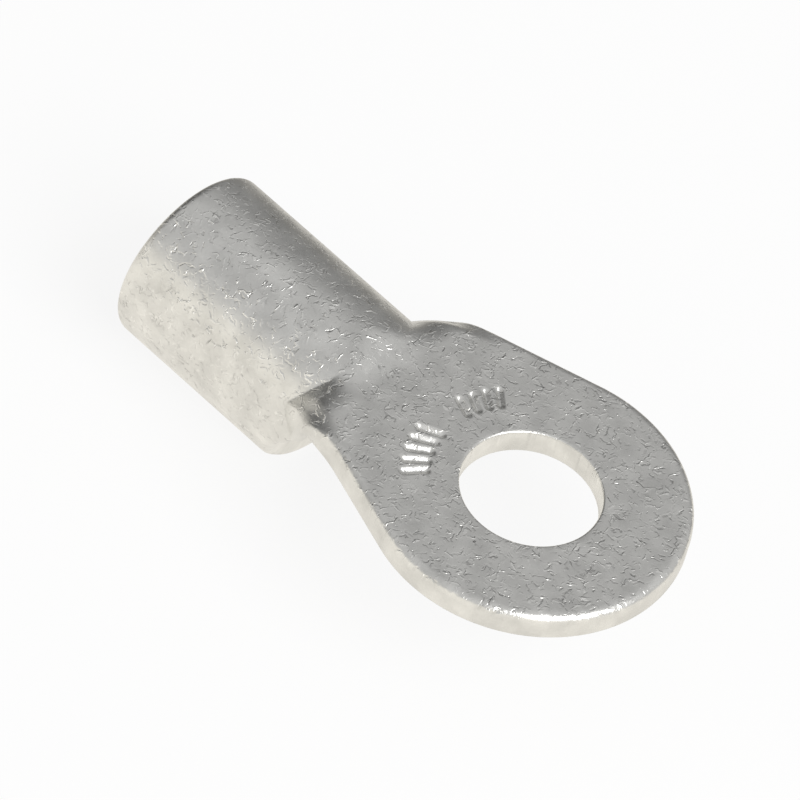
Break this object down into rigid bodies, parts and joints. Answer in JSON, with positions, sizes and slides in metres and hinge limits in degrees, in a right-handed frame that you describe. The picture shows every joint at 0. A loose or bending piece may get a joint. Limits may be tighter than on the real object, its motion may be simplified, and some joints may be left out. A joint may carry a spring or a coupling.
{
  "type": "ring terminal",
  "caption": "Bare ring terminal folded from one tinned sheet: a flat tongue with a stud hole, and a rolled barrel with a brazed seam for a crimped wire.",
  "frame": {"origin": "centre of the stud hole on the contact face", "axes": "+Z along the stud hole and out of the contact face, +X towards the tip of the tongue, so the wire leaves along -X, and +Y across the tongue"},
  "size_m": [0.0235, 0.012, 0.0072],
  "materials": {
    "tin_plate": "matt tin plate with fine tumbling scratches"
  },
  "bodies": {
    "root": {"terminal": "tin_plate"}
  },
  "joints": []
}
